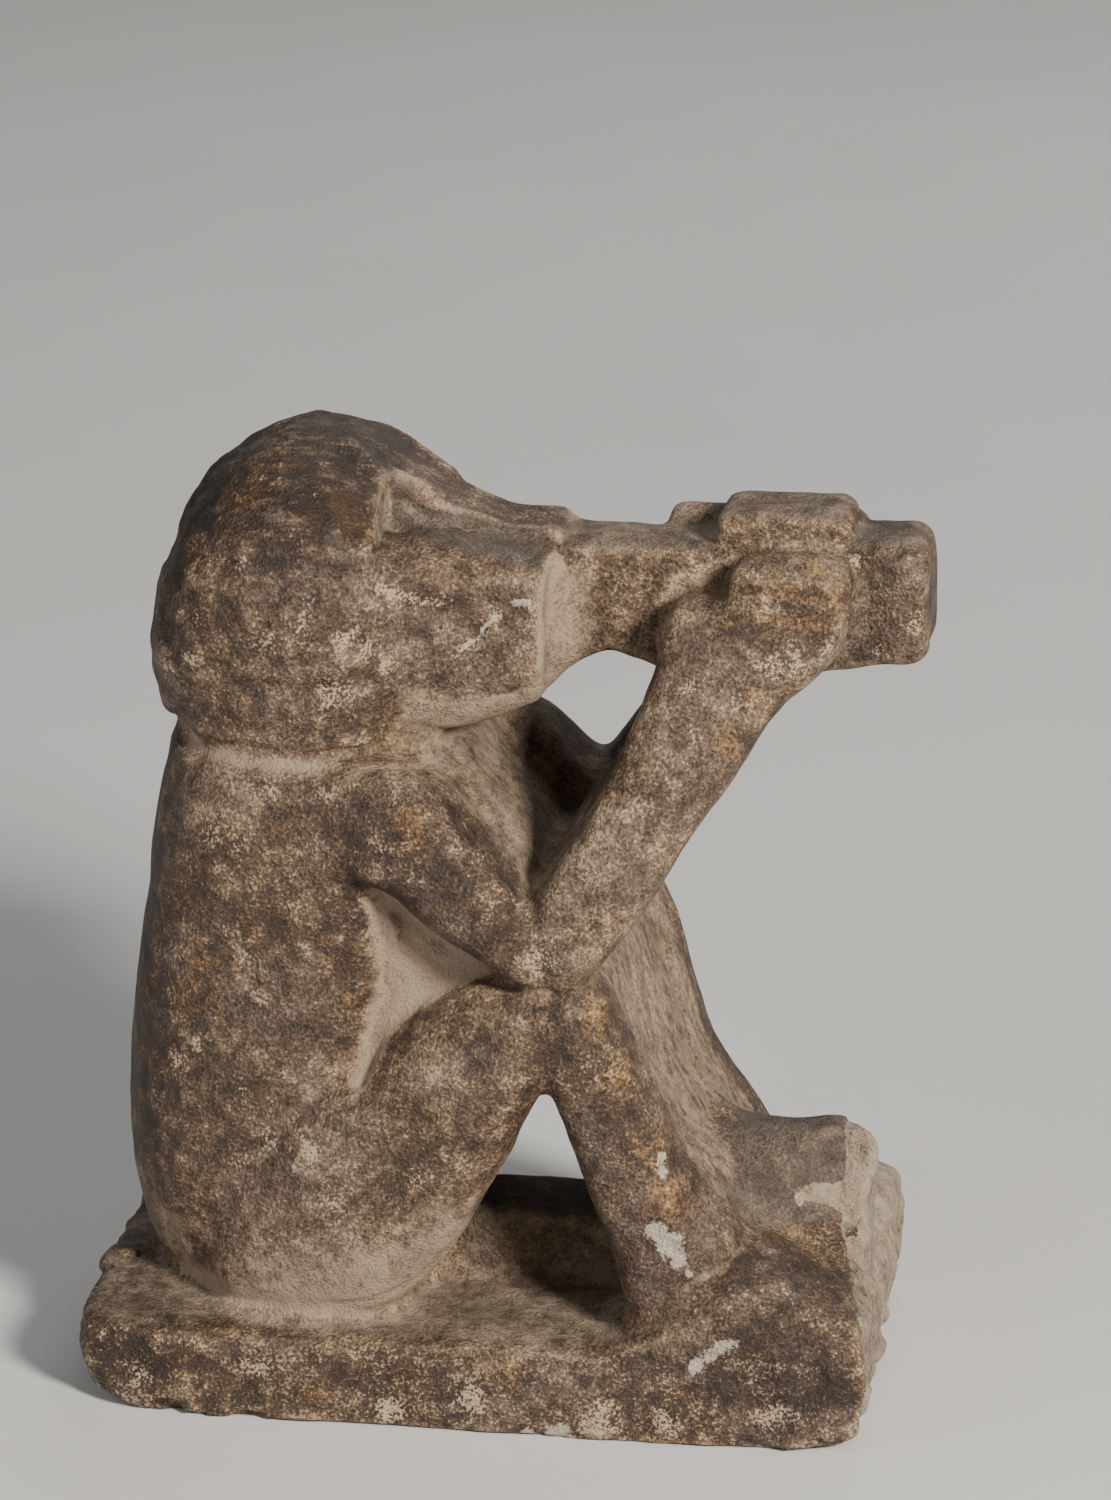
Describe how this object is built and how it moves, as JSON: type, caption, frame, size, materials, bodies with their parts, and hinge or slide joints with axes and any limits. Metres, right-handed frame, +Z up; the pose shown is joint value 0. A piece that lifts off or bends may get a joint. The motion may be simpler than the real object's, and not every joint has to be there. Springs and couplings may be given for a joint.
{
  "type": "baboon figurine",
  "caption": "Carved limestone figurine of a squatting baboon on a low plinth, lifting a bar-shaped vessel to its mouth, broken at the front.",
  "frame": {"origin": "middle of the plinth's flat underside", "axes": "+X the way the baboon faces, +Z up, +Y its left side"},
  "size_m": [0.0858, 0.049, 0.0993],
  "materials": {
    "limestone": "matt, worn limestone with a dark brown and orange patina, pale grey in its hollows and cream where broken"
  },
  "bodies": {
    "root": {"baboon_figurine": "limestone"}
  },
  "joints": []
}
